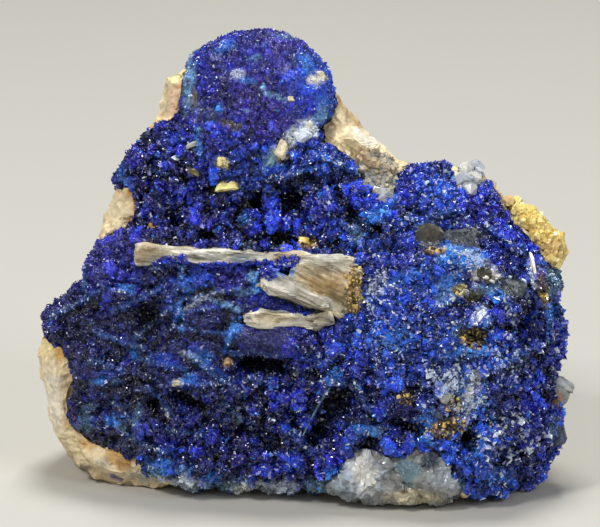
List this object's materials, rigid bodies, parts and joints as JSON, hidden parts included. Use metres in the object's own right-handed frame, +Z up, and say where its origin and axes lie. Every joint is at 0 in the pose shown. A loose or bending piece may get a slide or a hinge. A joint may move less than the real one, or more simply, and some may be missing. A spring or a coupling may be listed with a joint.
{
  "type": "linarite specimen",
  "caption": "Hand specimen of deep blue linarite crystals crusting a cream baryte and quartz matrix, cut flat underneath to stand.",
  "frame": {"origin": "middle of the flat underside that the specimen stands on", "axes": "+X to the right along the specimen's width as its crystal face is viewed, -Y out of the crystal face towards the viewer, +Z up"},
  "size_m": [0.0904, 0.0546, 0.0757],
  "materials": {
    "cream_rock": "rough broken baryte and quartz, cream with ochre and rust stains",
    "linarite": "sparkling fine crystal druse, royal blue to near black navy, sky blue on thin edges",
    "baryte": "fibrous cleaved blades, whitish grey to tan with ochre stains",
    "stained_blade": "small cleaved plates, brown orange and white, one blue grey",
    "grey_quartz": "glossy cloudy quartz, silvery white to blue grey",
    "yellow_quartz": "sugary translucent quartz stained honey yellow",
    "smoky_quartz": "glassy quartz, smoky to pale brown",
    "clear_quartz": "clear glossy quartz with a grey tint"
  },
  "bodies": {
    "root": {"host_rock": "cream_rock", "linarite_crust": "linarite", "baryte_ledge": "baryte", "edge_blades": "stained_blade", "quartz_foot": "grey_quartz", "yellow_quartz": "yellow_quartz", "saddle_quartz": "smoky_quartz", "shoulder_quartz": "clear_quartz"}
  },
  "joints": []
}
